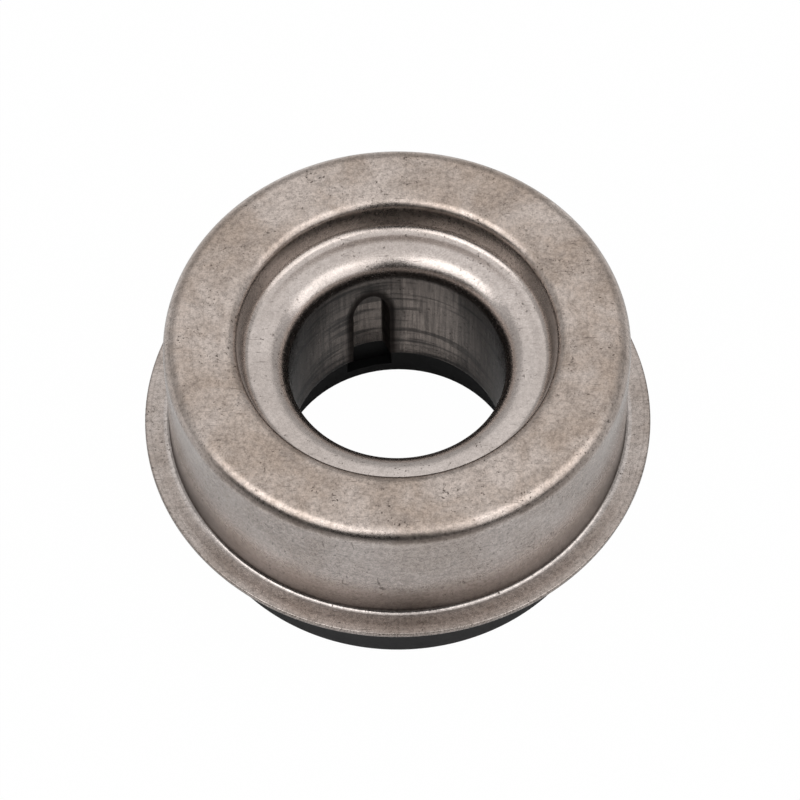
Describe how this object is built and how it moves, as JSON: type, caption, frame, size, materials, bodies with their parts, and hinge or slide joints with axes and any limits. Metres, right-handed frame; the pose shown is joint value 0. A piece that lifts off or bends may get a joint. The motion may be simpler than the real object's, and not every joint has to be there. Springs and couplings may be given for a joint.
{
  "type": "component mechanical seal",
  "caption": "Spring-loaded head of a component mechanical seal: flanged drawn case with a central tube, rubber bellows and carbon seal ring.",
  "frame": {"origin": "centre of the lapped seal face, on the plane that the head stands on", "axes": "+Z along the shaft axis, from the seal face towards the closed end of the case"},
  "size_m": [0.0404, 0.0404, 0.0203],
  "materials": {
    "case_steel": "drawn stainless sheet, satin, with faint brown stain and fine scratches",
    "ring_steel": "pressed stainless strip, satin",
    "spring_steel": "drawn spring wire",
    "rubber": "matt black nitrile rubber",
    "carbon": "carbon graphite, turned, with a lapped face"
  },
  "bodies": {
    "case_body": {"case": "case_steel", "clamp_ring": "ring_steel", "bellows": "rubber", "coil_spring": "spring_steel"},
    "seal_head": {"seal_ring": "carbon", "cuff_band": "ring_steel", "spring_seat": "ring_steel"}
  },
  "joints": [
    {"name": "seal_slide", "type": "slide", "parent": "case_body", "child": "seal_head", "axis": [0, 0, 1], "range_m": [0, 0.003], "stiffness_N_per_m": 2800, "deforming": ["bellows", "coil_spring"]}
  ]
}
